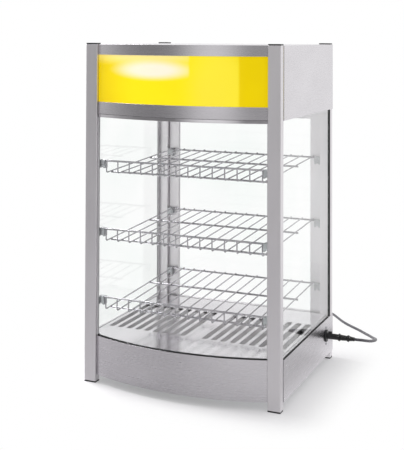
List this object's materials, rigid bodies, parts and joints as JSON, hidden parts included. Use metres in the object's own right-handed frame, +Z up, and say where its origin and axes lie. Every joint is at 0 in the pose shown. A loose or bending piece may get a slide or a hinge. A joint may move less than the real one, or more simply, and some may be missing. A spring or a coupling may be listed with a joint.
{
  "type": "heated display cabinet",
  "caption": "Counter-top heated food display cabinet with corner posts, curved front, glass sides, lit header, wire shelves, louvred air tray, rear door and mains lead.",
  "frame": {"origin": "centre of the cabinet's footprint over the front curve and the door handle, at the level of the feet", "axes": "+X to the right seen from the front, +Y to the rear door, +Z up"},
  "size_m": [0.5925, 0.8363, 0.8],
  "materials": {
    "satin_aluminium": "satin anodised",
    "brushed_steel": "brushed",
    "plain_steel": "mill finish",
    "polished_steel": "polished",
    "wire_chrome": "chrome-plated wire",
    "zinc_hardware": "zinc-plated",
    "heater_steel": "heat-darkened",
    "black_plastic": "moulded",
    "black_rubber": "matt",
    "cord_pvc": "grey sheath",
    "clear_glass": "clear",
    "sign_acrylic": "lit translucent",
    "opal_plastic": "opal",
    "pale_plastic": "moulded",
    "red_plastic": "moulded",
    "green_plastic": "moulded"
  },
  "bodies": {
    "cabinet": {"front_post_left": "satin_aluminium", "front_post_right": "satin_aluminium", "rear_post_left": "satin_aluminium", "rear_post_right": "satin_aluminium", "base_fascia": "brushed_steel", "base_side_left": "brushed_steel", "base_side_right": "brushed_steel", "base_rear_panel": "brushed_steel", "header_upper_bar": "brushed_steel", "header_lower_bar": "brushed_steel", "header_side_left": "brushed_steel", "header_side_right": "brushed_steel", "header_top": "brushed_steel", "header_rear_panel": "brushed_steel", "header_floor": "brushed_steel", "base_floor": "plain_steel", "element_brackets": "plain_steel", "panel_screws": "zinc_hardware", "door_hinges": "zinc_hardware", "hinge_pins": "zinc_hardware", "shelf_clips": "zinc_hardware", "heating_element": "heater_steel", "post_caps": "black_plastic", "feet": "black_plastic", "air_probe": "black_plastic", "switch_housings": "black_plastic", "power_inlet": "black_plastic", "appliance_connector": "black_plastic", "mains_plug": "black_plastic", "door_catch": "black_plastic", "front_gasket": "black_rubber", "glass_seals": "black_rubber", "cord_tie": "black_rubber", "power_cord": "cord_pvc", "cord_coil": "cord_pvc", "front_glass": "clear_glass", "side_glass_left": "clear_glass", "side_glass_right": "clear_glass", "sign_panel": "sign_acrylic", "light_window": "opal_plastic", "lamp_tube": "opal_plastic", "thermostat": "pale_plastic", "terminal_block": "pale_plastic", "lamp_holders": "pale_plastic"},
    "door": {"door_stiles": "satin_aluminium", "door_rails": "satin_aluminium", "door_glass": "clear_glass", "door_handle": "zinc_hardware", "door_hinge_leaves": "zinc_hardware"},
    "tray": {"air_tray": "polished_steel"},
    "top_shelf": {"top_shelf_rack": "wire_chrome", "top_shelf_front": "wire_chrome"},
    "middle_shelf": {"middle_shelf_rack": "wire_chrome", "middle_shelf_front": "wire_chrome"},
    "bottom_shelf": {"bottom_shelf_rack": "wire_chrome", "bottom_shelf_front": "wire_chrome"},
    "knob": {"thermostat_knob": "black_plastic"},
    "heat_switch": {"heat_rocker": "red_plastic"},
    "light_switch": {"light_rocker": "green_plastic"}
  },
  "joints": [
    {"name": "door_hinge", "type": "hinge", "parent": "cabinet", "child": "door", "pos_m": [-0.213, 0.2213, 0.357], "axis": [0, 0, 1], "range_deg": [0, 110]},
    {"name": "tray_lift", "type": "slide", "parent": "cabinet", "child": "tray", "axis": [0, 0, 1], "range_m": [0, 0.03]},
    {"name": "top_shelf_lift", "type": "slide", "parent": "cabinet", "child": "top_shelf", "axis": [0, 0, 1], "range_m": [0, 0.015]},
    {"name": "middle_shelf_lift", "type": "slide", "parent": "cabinet", "child": "middle_shelf", "axis": [0, 0, 1], "range_m": [0, 0.015]},
    {"name": "bottom_shelf_lift", "type": "slide", "parent": "cabinet", "child": "bottom_shelf", "axis": [0, 0, 1], "range_m": [0, 0.015]},
    {"name": "knob_turn", "type": "hinge", "parent": "cabinet", "child": "knob", "pos_m": [-0.12, 0.2225, 0.05125], "axis": [0, -1, 0], "range_deg": [0, 270]},
    {"name": "heat_rocker_tilt", "type": "hinge", "parent": "cabinet", "child": "heat_switch", "pos_m": [0.03, 0.2075, 0.05125], "axis": [-1, 0, 0], "range_deg": [0, 20]},
    {"name": "light_rocker_tilt", "type": "hinge", "parent": "cabinet", "child": "light_switch", "pos_m": [0.07, 0.2075, 0.05125], "axis": [-1, 0, 0], "range_deg": [0, 20]}
  ]
}
